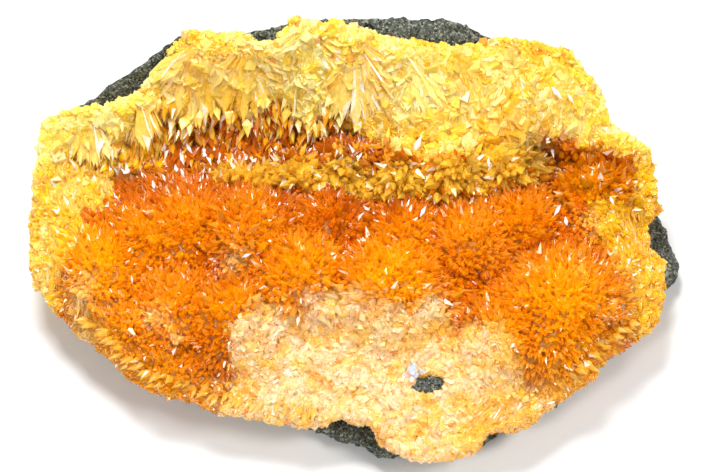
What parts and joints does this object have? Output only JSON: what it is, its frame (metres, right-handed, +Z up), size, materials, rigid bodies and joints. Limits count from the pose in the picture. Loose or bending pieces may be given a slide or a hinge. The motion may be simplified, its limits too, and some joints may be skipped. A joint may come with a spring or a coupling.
{
  "type": "orange calcite crystal cluster",
  "caption": "Oval crust of orange dogtooth calcite crystals on a thin slab of dark host rock, low in front and rising to a broken wall with fans of pale crystals at the back; flat underneath.",
  "frame": {"origin": "on the rock's flat underside, under the middle of the specimen", "axes": "+X to the right along the specimen's length, +Y from the low front to the high back wall, +Z up through the crystals"},
  "size_m": [0.1236, 0.0824, 0.0303],
  "materials": {
    "dark_rock": "matte",
    "orange_calcite": "gloss"
  },
  "bodies": {
    "root": {"matrix_rock": "dark_rock", "calcite_crust": "orange_calcite"}
  },
  "joints": []
}
